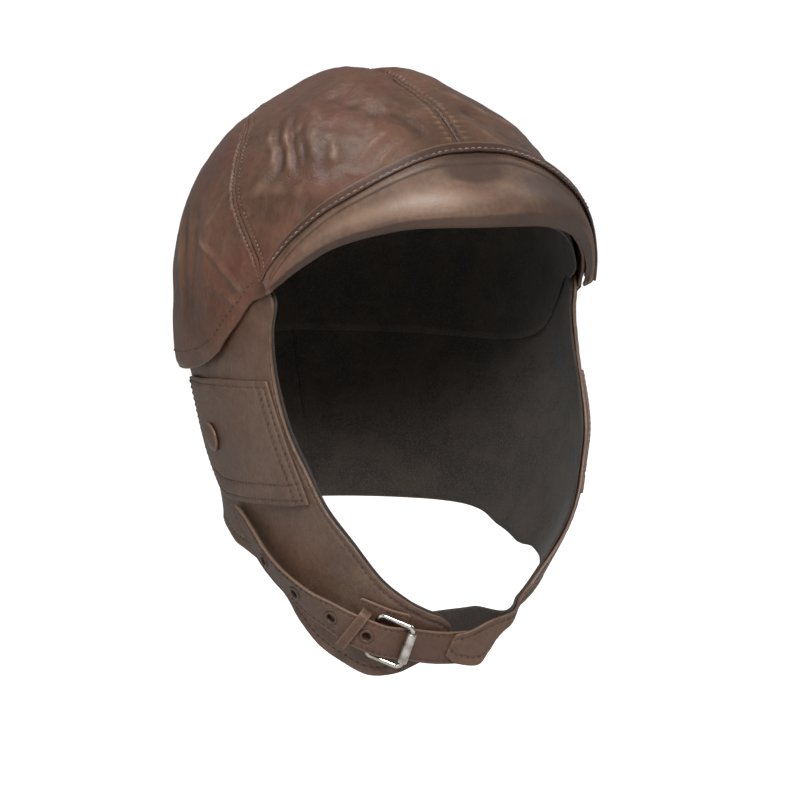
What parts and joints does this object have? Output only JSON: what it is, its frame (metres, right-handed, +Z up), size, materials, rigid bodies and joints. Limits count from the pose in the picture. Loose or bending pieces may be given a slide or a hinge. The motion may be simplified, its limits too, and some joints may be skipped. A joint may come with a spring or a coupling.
{
  "type": "leather flying helmet",
  "caption": "Soft leather flying helmet with a turned-up peak, flaps over the ears, cheeks and neck, an open face and a buckled chin strap.",
  "frame": {"origin": "inside of the crown at its top, where it rests on the head", "axes": "+Z up, -Y towards the face, +X towards the wearer's left"},
  "size_m": [0.1753, 0.2012, 0.2552],
  "materials": {
    "crown_leather": "semi-gloss",
    "flap_leather": "semi-gloss",
    "trim_leather": "satin",
    "lining_cloth": "matte",
    "buckle_steel": "polished"
  },
  "bodies": {
    "root": {"crown_front_right": "crown_leather", "crown_front_left": "crown_leather", "crown_side_right": "crown_leather", "crown_side_left": "crown_leather", "peak": "crown_leather", "peak_binding": "trim_leather", "flap_right": "flap_leather", "flap_left": "flap_leather", "ear_panel_right": "flap_leather", "ear_panel_left": "flap_leather", "snap_right": "trim_leather", "snap_left": "trim_leather", "lining_crown": "lining_cloth", "lining_right": "lining_cloth", "lining_left": "lining_cloth", "chin_strap": "trim_leather", "buckle_tab": "trim_leather", "strap_keeper": "trim_leather", "eyelet_1": "trim_leather", "eyelet_2": "trim_leather", "eyelet_3": "trim_leather", "eyelet_4": "trim_leather", "buckle_frame": "buckle_steel", "buckle_roller": "buckle_steel"}
  },
  "joints": []
}
